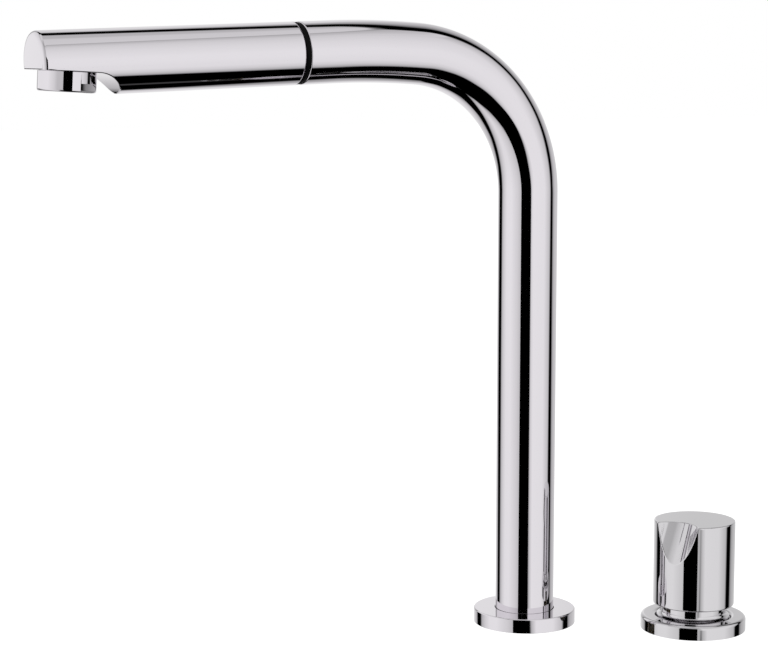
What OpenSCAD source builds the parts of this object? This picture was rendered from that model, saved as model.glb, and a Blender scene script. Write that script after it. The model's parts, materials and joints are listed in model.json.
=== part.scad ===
// Two-hole kitchen tap with a pull-out handset on a spout that can be lowered through the worktop,
// and a separate mixer knob. Z is up, the worktop's top is z = 0 and the spout's axis is x = y = 0.
// The arm points along -X. Millimetres.

/* [Spout] */
// Outside diameter of the spout tube
tube_d = 28; // [24:0.5:32]
// Wall of the spout tube
tube_wall = 1.5; // [1.2:0.1:2]
// Straight height of the riser above the worktop, up to the start of the bend
riser_height = 207.5; // [160:0.5:260]
// Radius of the main bend, at the middle of the tube
bend_radius = 65.5; // [56:0.5:80]
// Radius of the slight bow of the arm after the bend
bow_radius = 395; // [300:5:600]
// Angle that the bow turns through
bow_angle = 6.3; // [4:0.1:10]
// Slope of the arm's free end below level
arm_slope = 2.1; // [0:0.1:5]
// Straight length of the arm before the joint with the handset
arm_straight = 16.4; // [16:0.1:24]

/* [Handset] */
// Outside diameter of the handset
handset_d = 28; // [24:0.1:31.5]
// Wall of the handset's casing
handset_wall = 1.6; // [1.4:0.1:2.2]
// Length from the middle of the joint to the flat tip
handset_length = 121.3; // [114:0.1:150]
// Thickness of the casing's closed tip
tip_wall = 2.5; // [1.5:0.1:3]
// Thickness of the casing's flat underside
floor_wall = 2; // [1.5:0.1:2.5]
// Depth of the flat underside below the axis, at the tip
flat_depth = 2.2; // [1:0.1:3]
// Angle of the flat underside to the axis
flat_angle = 5.4; // [3:0.1:7]
// Distance from the tip to where the flat turns down into the round
flat_length = 24.5; // [22:0.5:32]
// Radius of that hollow turn
scoop_radius = 13; // [11:0.5:24]
// Distance from the tip to the aerator's axis
aerator_setback = 14.8; // [14:0.1:20]
// Outside diameter of the aerator's housing
aerator_d = 24.9; // [22:0.1:25]
// Height of the aerator's housing below the flat
aerator_height = 8.6; // [7:0.1:12]
// Diameter of the housing's threaded neck
aerator_neck_d = 20; // [18:0.5:20.5]
// Distance between the two spanner flats on the housing
spanner_size = 22.9; // [20:0.1:23.2]
// Width of the black joint ring
joint_ring_w = 2.5; // [1.5:0.1:4]
// Outside diameter of the handset's docking spigot
spigot_d = 19; // [17:0.5:20]
// Length of the spigot inside the arm, from the middle of the joint
spigot_length = 11; // [9:0.5:13]
// Outside diameter of the pull-out hose
hose_d = 12; // [10:0.5:13]
// Bore of the pull-out hose
hose_bore = 7; // [5:0.5:8]

/* [Spout mounting] */
// Diameter of the spout's base ring
ring_d = 48.8; // [46:0.2:60]
// Height of the spout's base ring
ring_h = 6.8; // [6.4:0.1:10]
// Small bevel on the chromed edges
edge_bevel = 0.4; // [0.2:0.1:0.6]
// Outside diameter of the threaded shanks that go through the worktop
shank_d = 33.2; // [33:0.1:34]
// Length of the shanks below the worktop
shank_length = 62; // [54:1:90]
// Wall of the plastic liner that turns in the shank
liner_wall = 0.94; // [0.8:0.02:1]
// Thickness of the worktop that is clamped
worktop = 30; // [20:1:38]
// Diameter of the clamp washers and gaskets
washer_d = 50; // [46:1:60]
// Thickness of a clamp gasket
gasket_t = 2; // [1.5:0.5:3]
// Thickness of a clamp washer
washer_t = 2; // [1.5:0.5:3]
// Height of a clamp nut
nut_h = 8; // [6:0.5:10]
// Size across the flats of a clamp nut
nut_flats = 42; // [40:0.5:46]
// Height of the stop collar on the riser's foot
collar_h = 8; // [7:0.5:12]
// Diameter of the stop collar
collar_d = 35; // [34:0.5:40]
// Length of hose that hangs below the riser's foot
hose_tail = 22; // [16:1:40]

/* [Mixer knob] */
// Distance between the spout's and the knob's holes
hole_pitch = 81; // [78:1:140]
// Direction of the knob's hole, seen from above
hole_angle = -35.9; // [-90:0.1:0]
// Direction that the knob's finger scoop faces
scoop_angle = 205; // [0:1:360]
// Diameter of the knob
knob_d = 38.4; // [37.6:0.1:44]
// Height of the knob
knob_h = 40.5; // [38:0.5:50]
// Height of the knob's lower edge above the worktop
knob_z = 12; // [11.8:0.1:14]
// Depth of the finger scoop at the knob's top edge
scoop_depth = 10; // [7:0.5:10.5]
// Height of the finger scoop
scoop_h = 18.5; // [14:0.5:20]
// Radius of the finger scoop
finger_r = 13; // [10:0.5:16]
// Diameter of the knob's base ring
knob_ring_d = 49.9; // [48:0.1:60]
// Height of the knob's base ring
knob_ring_h = 6.6; // [6:0.1:7]
// Radius of the rounded edges of the knob's base ring
knob_ring_round = 1.7; // [1:0.1:2.4]
// Diameter of the neck under the knob
neck_d = 30.8; // [30.6:0.1:31.4]
// Diameter of the neck's flared foot
neck_foot_d = 34.6; // [34:0.1:34.8]
// Steepest tilt of the knob
tilt_max = 12; // [8:1:12]
// Height of the knob's tilt pivot above the worktop
pivot_z = 15; // [14.5:0.5:16]

/* [Hidden] */
$fn = 96;

// Clearances
fit = 0.06;         // running fit, on the radius
slack = 0.3;        // between pieces that move past each other
thread_gap = 0.05;  // round a screwed or seated piece, on the radius
seat_gap = 0.05;    // between faces that meet
press_gap = 0.02;   // round a pressed pin or a squeezed ring, on the radius
eps = 0.01;         // a cut's overrun past a face

// Spout tube and its path, in the XZ plane
tube_r = tube_d / 2;
tube_bore_r = tube_r - tube_wall;
bend_angle = 90 + arm_slope - bow_angle;
bend_centre = [-bend_radius, 0, riser_height];
bow_centre = bend_centre - (bow_radius - bend_radius) * [cos(bend_angle), 0, sin(bend_angle)];
bow_start = bend_centre + bend_radius * [cos(bend_angle), 0, sin(bend_angle)];
arm_end_angle = bend_angle + bow_angle;
arm_end_start = bow_centre + bow_radius * [cos(arm_end_angle), 0, sin(arm_end_angle)];
arm_dir = [-cos(arm_slope), 0, -sin(arm_slope)];
joint_centre = arm_end_start + arm_straight * arm_dir;
seam_step = 0.01;
seam_half = 0.4;
seam_trim = 0.2;
ring_half = joint_ring_w / 2;

// Base ring, shank and liner, from the worktop up
seal_in_r = 19.5;
seal_out_r = 22.5;
seal_h = 1.5;
shank_r = shank_d / 2;
liner_bore_r = tube_r + fit;
liner_r = liner_bore_r + liner_wall;
shank_bore_r = liner_r + fit;
shank_top = 1.75;
liner_flange_inset = 0.7;
liner_flange_r = shank_r - liner_flange_inset;
liner_flange_z = shank_top + fit;
liner_flange_h = 1.4;
ring_roof_z = liner_flange_z + liner_flange_h + slack;
ring_roof_t = 1;
wiper_z = ring_roof_z + ring_roof_t;
wiper_h = 1.2;
wiper_w = 2;
wiper_r = tube_r + wiper_w;

// Clamp stack under the worktop
gasket_z = -worktop - gasket_t;
washer_z = gasket_z - washer_t;
nut_z = washer_z - nut_h;

// Riser foot
collar_top = -shank_length - slack;
foot_drop = 4;
foot_z = collar_top - collar_h - foot_drop;
set_screw_r = 2;
hex_r = 1;
hex_depth = 2;
guide_h = 8;
guide_lip_h = 2;
guide_lip_r = tube_r - edge_bevel;
hose_r = hose_d / 2;
tail_z = foot_z - hose_tail;
tail_nut_h = 9;
tail_thread_h = 12;
tail_thread_r = 8.2;
tail_nut_flats = 19;

// Handset, measured along its axis from the middle of the joint
handset_r = handset_d / 2;
handset_bore_r = handset_r - handset_wall;
flat_start = handset_length - flat_length;
flat_start_depth = flat_depth + flat_length * tan(flat_angle);
aerator_at = handset_length - aerator_setback;
aerator_flat_depth = flat_depth + aerator_setback * tan(flat_angle);
spigot_r = spigot_d / 2;
dock_gap = 0.2;
collar_bore_r = spigot_r + dock_gap;
joint_inset = 0.25;
collar_inset = 2;
collar_depth = arm_straight - collar_inset;
hose_nut_thread_r = 7;
hose_nut_r = 8.2;
valve_length = 10;
valve_at = 3;
valve_end = valve_at + valve_length;
valve_port_r = 1.6;
valve_port_at = 3.6;
core_bore_r = 5.4;
core_flange_h = 4;
oring_w = 2;
oring_at = 5;
oring_depth = 1;
core_length = flat_start - scoop_radius;
core_end_wall = 3;
duct_r = 5;
duct_bore_r = 3.4;
duct_lift = 4;
duct_overlap = 2;
socket_r = 7.6;
socket_bore_r = 5.4;
socket_lip = 1;
aerator_r = aerator_d / 2;
neck_r = aerator_neck_d / 2;
aerator_seal_h = 1.2;
seat_r = 9.6;
seat_h = 2;
spanner_z = 4.9;
spanner_turn = 58.4;
neck_wall = 1.2;
insert_r = neck_r - neck_wall;
insert_h = 7;
insert_inset = 1;
jet_r = 0.8;
jet_pitch = 2.5;
jet_depth = 4;

// Mixer knob and what it holds, from the worktop up
knob_axis = [hole_pitch * cos(hole_angle), hole_pitch * sin(hole_angle), 0];
knob_r = knob_d / 2;
knob_top = knob_z + knob_h;
knob_wall = 2.1;
knob_cavity_r = knob_r - knob_wall;
knob_roof_t = 3;
knob_cavity_top = knob_top - scoop_h - knob_roof_t;
insert_out_r = 7;
insert_lift = 9;
insert_low = pivot_z + insert_lift;
knob_top_wall = 4.5;
insert_high = knob_top - knob_top_wall;
screw_lift = 2;
screw_z = knob_top - scoop_h + screw_lift;
screw_length = 8;
knob_ring_bore_r = 17.75;
knob_ring_step = 3;
body_top = 3.2;
body_neck_r = 14.3;
body_neck_top = 11;
notch_in = 1.6;
notch_w = 3;
notch_z = 2.5;
cartridge_r = 12.3;
cartridge_low = -8;
cartridge_shoulder = 6;
cartridge_neck_r = 9;
cartridge_neck_top = 11;
lock_recess = 0.5;
lock_h = body_neck_top - cartridge_shoulder - lock_recess;
cover_top = 12.5;
cover_roof = 1.2;
cover_gap = 0.6;
cover_bore_r = cartridge_neck_r + cover_gap;
flare_low = 7;
flare_high = 8.2;
disc_h = 3;
fixed_disc_r = 10.4;
moving_disc_r = 7;
disc_gap = 0.05;
moving_disc_z = cartridge_low + disc_h + disc_gap;
rotor_flange_z = moving_disc_z + disc_h + disc_gap;
rotor_flange_h = 2;
rotor_flange_r = 10.8;
rotor_r = 7;
rotor_head = 5;
rotor_top = pivot_z + rotor_head;
rotor_h = rotor_top - rotor_flange_z;
cavity_r = 11.2;
cavity_top = rotor_flange_z + rotor_flange_h + slack;
seal_ring_h = 1.5;
pin_r = 1.25;
pin_inset = 0.4;
pin_length = 2 * (rotor_r - pin_inset);
lever_w = 4;
lever_t = 5;
lever_tip_r = 1.8;
lever_tip_lift = 1;
lever_tip_z = moving_disc_z + lever_tip_lift;
lever_cap = 3;
lever_top = insert_high - lever_cap;
lever_foot = 4;
slot_gap = 0.2;
slot_front = (pivot_z - lever_tip_z) * sin(tilt_max) + lever_tip_r + slack;
slot_back = (rotor_top - pivot_z) * sin(tilt_max) + lever_t / 2 + slack;
port_r = 4.5;
port_pcd_r = 9;
port_depths = [20, 18, 22];    // hot, cold and mixed, so that their nuts clear each other
duct_hole_r = 2.4;
duct_ring_r = 7;

// A straight ring between two radii
module tube(r_out, r_in, h) {
    rotate_extrude()
        translate([r_in, 0])
            square([r_out - r_in, h]);
}

// A ring with its outer top edge bevelled
module bevelled_ring(r_out, r_in, h, bevel) {
    rotate_extrude()
        polygon([
            [r_in, 0], [r_out, 0], [r_out, h - bevel],
            [r_out - bevel, h], [r_in, h]
        ]);
}

// A solid rod with both ends bevelled
module bevelled_rod(r, h, bevel) {
    rotate_extrude()
        polygon([
            [0, 0], [r - bevel, 0], [r, bevel],
            [r, h - bevel], [r - bevel, h], [0, h]
        ]);
}

// Placed at the middle of the joint, with +Z along the handset and +X upwards
module at_joint() {
    translate(joint_centre)
        rotate([0, -90 - arm_slope, 0])
            children();
}

// Placed on the flat underside under the aerator, with +Z along the water's way out
module at_aerator() {
    at_joint()
        translate([-aerator_flat_depth, 0, aerator_at])
            rotate([0, -90 + flat_angle, 0])
                children();
}

// Placed on the knob's axis with +X towards its finger scoop
module at_knob() {
    translate(knob_axis)
        rotate([0, 0, scoop_angle])
            children();
}

// A part of a bend of the spout's path, which stops short of the seams at its two ends
module bend(centre, radius, from, turn, r_out, r_in) {
    trim = atan(seam_trim / radius);
    translate(centre)
        rotate([90, 0, 0])
            rotate([0, 0, from + trim])
                rotate_extrude(angle = turn - 2 * trim)
                    translate([radius, 0])
                        difference() {
                            circle(r = r_out);
                            circle(r = r_in);
                        }
}

// The brazed seam that joins two parts of the spout's path, a hair proud of both
module seam(at, angle, r_out, r_in) {
    translate(at)
        rotate([0, 90 - angle, 0])
            translate([0, 0, -seam_half])
                tube(r_out + seam_step, r_in - seam_step, 2 * seam_half);
}

// A pipe that follows the spout's path up from a height in the riser and round the bends
module riser_and_bends(foot, r_out, r_in) {
    translate([0, 0, foot])
        tube(r_out, r_in, riser_height - seam_trim - foot);
    seam([0, 0, riser_height], 90, r_out, r_in);
    bend(bend_centre, bend_radius, 0, bend_angle, r_out, r_in);
    seam(bow_start, bend_angle + 90, r_out, r_in);
    bend(bow_centre, bow_radius, bend_angle, bow_angle, r_out, r_in);
}

// Spout mounting

module spout_base_ring() {
    color([0.86, 0.87, 0.88])
        difference() {
            bevelled_ring(ring_d / 2, tube_r + slack, ring_h, edge_bevel);
            translate([0, 0, -eps])
                cylinder(r = shank_r + thread_gap, h = ring_roof_z + eps);
            translate([0, 0, wiper_z])
                cylinder(r = wiper_r + thread_gap, h = wiper_h);
            translate([0, 0, -eps])
                tube(seal_out_r, seal_in_r, seal_h + eps);
        }
}

module base_seal() {
    color([0.12, 0.12, 0.13])
        tube(seal_out_r - thread_gap, seal_in_r + thread_gap, seal_h);
}

module spout_base_seal() {
    base_seal();
}

module spout_shank() {
    color([0.78, 0.66, 0.38])
        translate([0, 0, -shank_length])
            tube(shank_r, shank_bore_r, shank_length + shank_top);
}

module wiper_ring() {
    color([0.1, 0.1, 0.1])
        translate([0, 0, wiper_z])
            tube(wiper_r, tube_r + fit, wiper_h);
}

module clamp_gasket() {
    color([0.12, 0.12, 0.13])
        translate([0, 0, gasket_z])
            tube(washer_d / 2, shank_r + thread_gap, gasket_t);
}

module clamp_washer() {
    color([0.7, 0.71, 0.72])
        translate([0, 0, washer_z])
            tube(washer_d / 2, shank_r + thread_gap, washer_t);
}

module clamp_nut() {
    color([0.78, 0.66, 0.38])
        translate([0, 0, nut_z])
            difference() {
                cylinder(d = nut_flats / cos(30), h = nut_h, $fn = 6);
                translate([0, 0, -eps])
                    cylinder(r = shank_r + thread_gap, h = nut_h + 2 * eps);
            }
}

module spout_clamp_gasket() {
    clamp_gasket();
}

module spout_clamp_washer() {
    clamp_washer();
}

module spout_clamp_nut() {
    clamp_nut();
}

module swivel_liner() {
    color([0.93, 0.93, 0.9]) {
        translate([0, 0, -shank_length])
            tube(liner_r, liner_bore_r, shank_length + liner_flange_z);
        translate([0, 0, liner_flange_z])
            tube(liner_flange_r, liner_bore_r, liner_flange_h);
    }
}

// Spout

module spout_tube() {
    color([0.86, 0.87, 0.88])
        difference() {
            union() {
                riser_and_bends(foot_z, tube_r, tube_bore_r);
                seam(arm_end_start, arm_end_angle + 90, tube_r, tube_bore_r);
                at_joint()
                    translate([0, 0, -arm_straight + seam_trim])
                        bevelled_ring(tube_r, tube_bore_r, arm_straight - seam_trim - ring_half, edge_bevel);
            }
            translate([0, 0, collar_top - collar_h / 2])
                rotate([0, 90, 0])
                    cylinder(r = set_screw_r + thread_gap, h = collar_d);
        }
}

module stop_collar() {
    color([0.72, 0.73, 0.74])
        translate([0, 0, collar_top - collar_h])
            difference() {
                tube(collar_d / 2, tube_r + thread_gap, collar_h);
                translate([0, 0, collar_h / 2])
                    rotate([0, 90, 0])
                        cylinder(r = set_screw_r + thread_gap, h = collar_d);
            }
}

module stop_collar_screw() {
    color([0.45, 0.46, 0.48])
        translate([tube_bore_r, 0, collar_top - collar_h / 2])
            rotate([0, 90, 0])
                difference() {
                    cylinder(r = set_screw_r, h = collar_d / 2 - tube_bore_r);
                    translate([0, 0, collar_d / 2 - tube_bore_r - hex_depth])
                        cylinder(r = hex_r, h = hex_depth + eps, $fn = 6);
                }
}

module hose_guide() {
    color([0.15, 0.15, 0.16])
        translate([0, 0, foot_z]) {
            tube(tube_bore_r - fit, hose_r + slack, guide_h);
            translate([0, 0, -guide_lip_h])
                tube(guide_lip_r, hose_r + slack, guide_lip_h);
        }
}

module docking_collar() {
    color([0.06, 0.06, 0.06])
        at_joint() {
            translate([0, 0, -collar_depth])
                tube(tube_bore_r - fit, collar_bore_r, collar_depth - ring_half);
            translate([0, 0, -ring_half])
                tube(handset_r - joint_inset, collar_bore_r, joint_ring_w);
        }
}

module hose() {
    color([0.55, 0.56, 0.58])
        riser_and_bends(tail_z, hose_r, hose_bore / 2);
}

module hose_tail_nut() {
    color([0.78, 0.66, 0.38])
        translate([0, 0, tail_z]) {
            difference() {
                cylinder(d = tail_nut_flats / cos(30), h = tail_nut_h, $fn = 6);
                translate([0, 0, -eps])
                    cylinder(r = hose_r + thread_gap, h = tail_nut_h + 2 * eps);
            }
            translate([0, 0, -tail_thread_h])
                tube(tail_thread_r, hose_bore / 2, tail_thread_h);
        }
}

// Handset

// Everything below the casing's flat underside and its hollow turn, raised by a wall
module underside(raise) {
    reach = 2 * handset_length;
    translate([-flat_start_depth, 0, flat_start])
        rotate([0, -90 + flat_angle, 0])
            translate([0, -handset_d, -raise])
                cube([reach, 2 * handset_d, handset_d]);
    translate([-flat_start_depth, 0, flat_start])
        rotate([0, flat_angle, 0])
            translate([-scoop_radius, 0, 0])
                rotate([90, 0, 0])
                    cylinder(r = scoop_radius + raise, h = 2 * handset_d, center = true);
}

module handset_shell() {
    color([0.86, 0.87, 0.88])
        difference() {
            at_joint()
                difference() {
                    translate([0, 0, ring_half + seat_gap])
                        bevelled_rod(handset_r, handset_length - ring_half - seat_gap, edge_bevel);
                    underside(0);
                    difference() {
                        cylinder(r = handset_bore_r, h = handset_length - tip_wall);
                        underside(floor_wall);
                    }
                }
            at_aerator()
                translate([0, 0, -floor_wall - eps])
                    cylinder(r = neck_r + thread_gap, h = floor_wall + 2 * eps);
        }
}

module handset_waterway() {
    color([0.25, 0.25, 0.27])
        difference() {
            union() {
                at_joint() {
                    translate([0, 0, -spigot_length])
                        cylinder(r = spigot_r, h = spigot_length + core_length);
                    translate([0, 0, ring_half + seat_gap])
                        cylinder(r = handset_bore_r - thread_gap, h = core_flange_h);
                    translate([duct_lift, 0, core_length - duct_overlap])
                        cylinder(r = duct_r, h = aerator_at + duct_r + duct_overlap - core_length);
                }
                at_aerator() {
                    translate([0, 0, -aerator_flat_depth - duct_lift])
                        cylinder(r = socket_r, h = aerator_flat_depth + duct_lift - floor_wall + socket_lip);
                    translate([0, 0, -floor_wall - aerator_seal_h - seat_h])
                        cylinder(r = seat_r, h = seat_h);
                }
            }
            at_joint() {
                translate([0, 0, -spigot_length - eps])
                    cylinder(r = hose_nut_thread_r + thread_gap, h = spigot_length + valve_end + eps);
                cylinder(r = core_bore_r, h = core_length - core_end_wall);
                translate([duct_lift, 0, core_length - 2 * core_end_wall])
                    cylinder(r = duct_bore_r, h = aerator_at + 2 * core_end_wall - core_length);
                translate([0, 0, -oring_at - oring_w])
                    tube(spigot_r + eps, spigot_r - oring_depth, oring_w);
            }
            at_aerator()
                translate([0, 0, -aerator_flat_depth - duct_lift])
                    cylinder(r = socket_bore_r, h = aerator_flat_depth + duct_lift);
        }
}

module hose_nut() {
    color([0.78, 0.66, 0.38])
        at_joint() {
            translate([0, 0, -arm_straight + slack])
                tube(hose_nut_r, hose_bore / 2, arm_straight - slack - spigot_length);
            translate([0, 0, -spigot_length])
                tube(hose_nut_thread_r, hose_bore / 2, spigot_length + valve_at);
        }
}

module check_valve() {
    color([0.2, 0.4, 0.65])
        at_joint()
            translate([0, 0, valve_at])
                difference() {
                    cylinder(r = hose_nut_thread_r, h = valve_length);
                    for (spoke = [0:3])
                        rotate([0, 0, 90 * spoke])
                            translate([valve_port_at, 0, -eps])
                                cylinder(r = valve_port_r, h = valve_length + 2 * eps);
                }
}

module docking_oring() {
    color([0.08, 0.08, 0.08])
        at_joint()
            translate([0, 0, -oring_at - oring_w])
                tube(collar_bore_r - press_gap, spigot_r - oring_depth, oring_w);
}

module aerator_housing() {
    color([0.86, 0.87, 0.88])
        at_aerator()
            difference() {
                union() {
                    bevelled_ring(aerator_r, insert_r, aerator_height, edge_bevel);
                    translate([0, 0, -floor_wall])
                        tube(neck_r, insert_r, floor_wall);
                }
                for (side = [0, 180])
                    rotate([0, 0, spanner_turn + side])
                        translate([spanner_size / 2, -aerator_r, spanner_z])
                            cube([aerator_r, aerator_d, aerator_height]);
            }
}

module aerator_insert() {
    color([0.8, 0.81, 0.82])
        at_aerator()
            translate([0, 0, aerator_height - insert_h - insert_inset])
                difference() {
                    cylinder(r = insert_r - thread_gap, h = insert_h);
                    for (ring = [1:3])
                        for (hole = [1:6 * ring])
                            rotate([0, 0, 60 * hole / ring])
                                translate([jet_pitch * ring, 0, insert_h - jet_depth])
                                    cylinder(r = jet_r, h = jet_depth + eps);
                }
}

module aerator_seal() {
    color([0.08, 0.08, 0.08])
        at_aerator()
            translate([0, 0, -floor_wall - aerator_seal_h])
                tube(neck_r - slack, socket_r + thread_gap, aerator_seal_h);
}

// Mixer knob's mounting and valve

module control_base_ring() {
    round_r = knob_ring_round;
    color([0.86, 0.87, 0.88])
        translate(knob_axis)
            difference() {
                rotate_extrude()
                    union() {
                        translate([shank_r + thread_gap, 0])
                            square([knob_ring_d / 2 - shank_r - thread_gap, knob_ring_step]);
                        translate([knob_ring_bore_r, 0])
                            square([knob_ring_d / 2 - knob_ring_bore_r, knob_ring_h - round_r]);
                        translate([knob_ring_bore_r + round_r, 0])
                            square([knob_ring_d / 2 - knob_ring_bore_r - 2 * round_r, knob_ring_h]);
                        for (x = [knob_ring_bore_r + round_r, knob_ring_d / 2 - round_r])
                            translate([x, knob_ring_h - round_r])
                                circle(r = round_r);
                    }
                translate([0, 0, -eps])
                    tube(seal_out_r, seal_in_r, seal_h + eps);
            }
}

module control_base_seal() {
    translate(knob_axis)
        base_seal();
}

module valve_body() {
    color([0.78, 0.66, 0.38])
        translate(knob_axis)
            difference() {
                union() {
                    translate([0, 0, -shank_length])
                        cylinder(r = shank_r, h = shank_length + body_top);
                    cylinder(r = body_neck_r, h = body_neck_top);
                }
                translate([0, 0, cartridge_low - seal_ring_h])
                    cylinder(r = cartridge_r + thread_gap, h = body_neck_top + shank_length);
                for (port = [0:2])
                    rotate([0, 0, 120 * port]) {
                        translate([port_pcd_r, 0, -shank_length - eps])
                            cylinder(r = port_r, h = port_depths[port] + eps);
                        translate([duct_ring_r, 0, -shank_length + port_depths[port] - eps])
                            cylinder(r = duct_hole_r, h = shank_length);
                    }
            }
}

module control_clamp_gasket() {
    translate(knob_axis)
        clamp_gasket();
}

module control_clamp_washer() {
    translate(knob_axis)
        clamp_washer();
}

module control_clamp_nut() {
    translate(knob_axis)
        clamp_nut();
}

module cartridge_seal() {
    color([0.08, 0.08, 0.08])
        translate([0, 0, cartridge_low - seal_ring_h])
            translate(knob_axis)
                difference() {
                    cylinder(r = cartridge_r, h = seal_ring_h);
                    for (port = [0:2])
                        rotate([0, 0, 120 * port])
                            translate([duct_ring_r, 0, -eps])
                                cylinder(r = duct_hole_r, h = seal_ring_h + 2 * eps);
                }
}

module fixed_disc() {
    color([0.95, 0.95, 0.93])
        translate(knob_axis)
            translate([0, 0, cartridge_low])
                difference() {
                    cylinder(r = fixed_disc_r, h = disc_h);
                    for (port = [0:2])
                        rotate([0, 0, 120 * port])
                            translate([duct_ring_r, 0, -eps])
                                cylinder(r = duct_hole_r, h = disc_h + 2 * eps);
                }
}

module cartridge_body() {
    color([0.9, 0.9, 0.88])
        translate(knob_axis)
            difference() {
                union() {
                    translate([0, 0, cartridge_low])
                        cylinder(r = cartridge_r, h = cartridge_shoulder - cartridge_low);
                    cylinder(r = cartridge_neck_r, h = cartridge_neck_top);
                }
                translate([0, 0, cartridge_low - eps])
                    cylinder(r = cavity_r, h = cavity_top - cartridge_low + eps);
                cylinder(r = rotor_r + fit, h = cartridge_neck_top + eps);
            }
}

module cartridge_nut() {
    color([0.78, 0.66, 0.38])
        translate(knob_axis)
            translate([0, 0, cartridge_shoulder])
                difference() {
                    tube(cartridge_r, cartridge_neck_r + thread_gap, lock_h);
                    for (slot = [0:3])
                        rotate([0, 0, 90 * slot])
                            translate([cartridge_neck_r + notch_in, -notch_w / 2, notch_z])
                                cube([cartridge_r, notch_w, body_neck_top]);
                }
}

module neck_cover() {
    color([0.86, 0.87, 0.88])
        translate(knob_axis)
            rotate_extrude()
                polygon([
                    [body_neck_r + thread_gap, body_top], [neck_foot_d / 2, body_top],
                    [neck_foot_d / 2, flare_low], [neck_d / 2, flare_high],
                    [neck_d / 2, cover_top - edge_bevel], [neck_d / 2 - edge_bevel, cover_top],
                    [cover_bore_r, cover_top], [cover_bore_r, cover_top - cover_roof],
                    [body_neck_r + thread_gap, cover_top - cover_roof]
                ]);
}

module mixer_rotor() {
    color([0.93, 0.93, 0.9])
        at_knob()
            difference() {
                union() {
                    translate([0, 0, rotor_flange_z])
                        cylinder(r = rotor_flange_r, h = rotor_flange_h);
                    translate([0, 0, rotor_flange_z])
                        cylinder(r = rotor_r, h = rotor_h);
                }
                translate([-slot_back, -lever_w / 2 - slot_gap, rotor_flange_z - eps])
                    cube([slot_back + slot_front, lever_w + 2 * slot_gap, rotor_h + 2 * eps]);
                translate([0, 0, pivot_z])
                    rotate([90, 0, 0])
                        cylinder(r = pin_r + press_gap, h = 3 * rotor_r, center = true);
            }
}

module pivot_pin() {
    color([0.7, 0.71, 0.72])
        at_knob()
            translate([0, 0, pivot_z])
                rotate([90, 0, 0])
                    cylinder(r = pin_r, h = pin_length, center = true);
}

module moving_disc() {
    color([0.95, 0.95, 0.93])
        at_knob()
            translate([0, 0, moving_disc_z])
                difference() {
                    cylinder(r = moving_disc_r, h = disc_h);
                    translate([0, 0, lever_tip_z - moving_disc_z - slack])
                        cylinder(r = lever_tip_r + slack, h = disc_h);
                }
}

module control_lever() {
    color([0.7, 0.71, 0.72])
        at_knob()
            difference() {
                union() {
                    translate([0, 0, lever_tip_z])
                        cylinder(r = lever_tip_r, h = pivot_z - lever_tip_z);
                    translate([-lever_t / 2, -lever_w / 2, pivot_z - lever_foot])
                        cube([lever_t, lever_w, lever_top - pivot_z + lever_foot]);
                }
                translate([0, 0, pivot_z])
                    rotate([90, 0, 0])
                        cylinder(r = pin_r + fit, h = 2 * lever_w, center = true);
            }
}

module knob_insert() {
    socket_t = lever_t + 2 * thread_gap;
    socket_w = lever_w + 2 * thread_gap;
    color([0.2, 0.2, 0.21])
        at_knob()
            difference() {
                translate([0, 0, insert_low])
                    cylinder(r = insert_out_r - thread_gap, h = insert_high - insert_low);
                translate([-socket_t / 2, -socket_w / 2, insert_low - eps])
                    cube([socket_t, socket_w, lever_top - insert_low + seat_gap]);
            }
}

module knob() {
    color([0.86, 0.87, 0.88])
        at_knob()
            difference() {
                translate([0, 0, knob_z])
                    bevelled_rod(knob_r, knob_h, edge_bevel);
                translate([0, 0, knob_z - eps])
                    cylinder(r = knob_cavity_r, h = knob_cavity_top - knob_z + eps);
                cylinder(r = insert_out_r, h = insert_high);
                translate([0, 0, screw_z])
                    rotate([0, -90, 0])
                        cylinder(r = set_screw_r + thread_gap, h = knob_d);
                finger_scoop();
            }
}

// The round hollow for a finger in the knob's top edge
module finger_scoop() {
    lean = atan(scoop_depth / scoop_h);
    translate([knob_r - scoop_depth + finger_r / cos(lean), 0, knob_top])
        rotate([0, -lean, 0])
            cylinder(r = finger_r, h = 3 * scoop_h, center = true);
}

module knob_screw() {
    color([0.45, 0.46, 0.48])
        at_knob()
            translate([-insert_out_r, 0, screw_z])
                rotate([0, -90, 0])
                    difference() {
                        cylinder(r = set_screw_r, h = screw_length);
                        translate([0, 0, screw_length - hex_depth])
                            cylinder(r = hex_r, h = hex_depth + eps, $fn = 6);
                    }
}

spout_base_ring();
spout_base_seal();
spout_shank();
wiper_ring();
spout_clamp_gasket();
spout_clamp_washer();
spout_clamp_nut();
swivel_liner();
spout_tube();
stop_collar();
stop_collar_screw();
hose_guide();
docking_collar();
hose();
hose_tail_nut();
handset_shell();
handset_waterway();
hose_nut();
check_valve();
docking_oring();
aerator_housing();
aerator_insert();
aerator_seal();
control_base_ring();
control_base_seal();
valve_body();
control_clamp_gasket();
control_clamp_washer();
control_clamp_nut();
cartridge_seal();
fixed_disc();
cartridge_body();
cartridge_nut();
neck_cover();
mixer_rotor();
pivot_pin();
moving_disc();
control_lever();
knob_insert();
knob();
knob_screw();
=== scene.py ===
"""A chromed two-hole kitchen tap: a lowering spout with a pull-out handset, and a mixer knob.

Sizes are in millimetres and are turned into metres where a mesh is made.
"""
import json
import math

import bmesh
import bpy
from mathutils import Matrix, Vector


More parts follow.
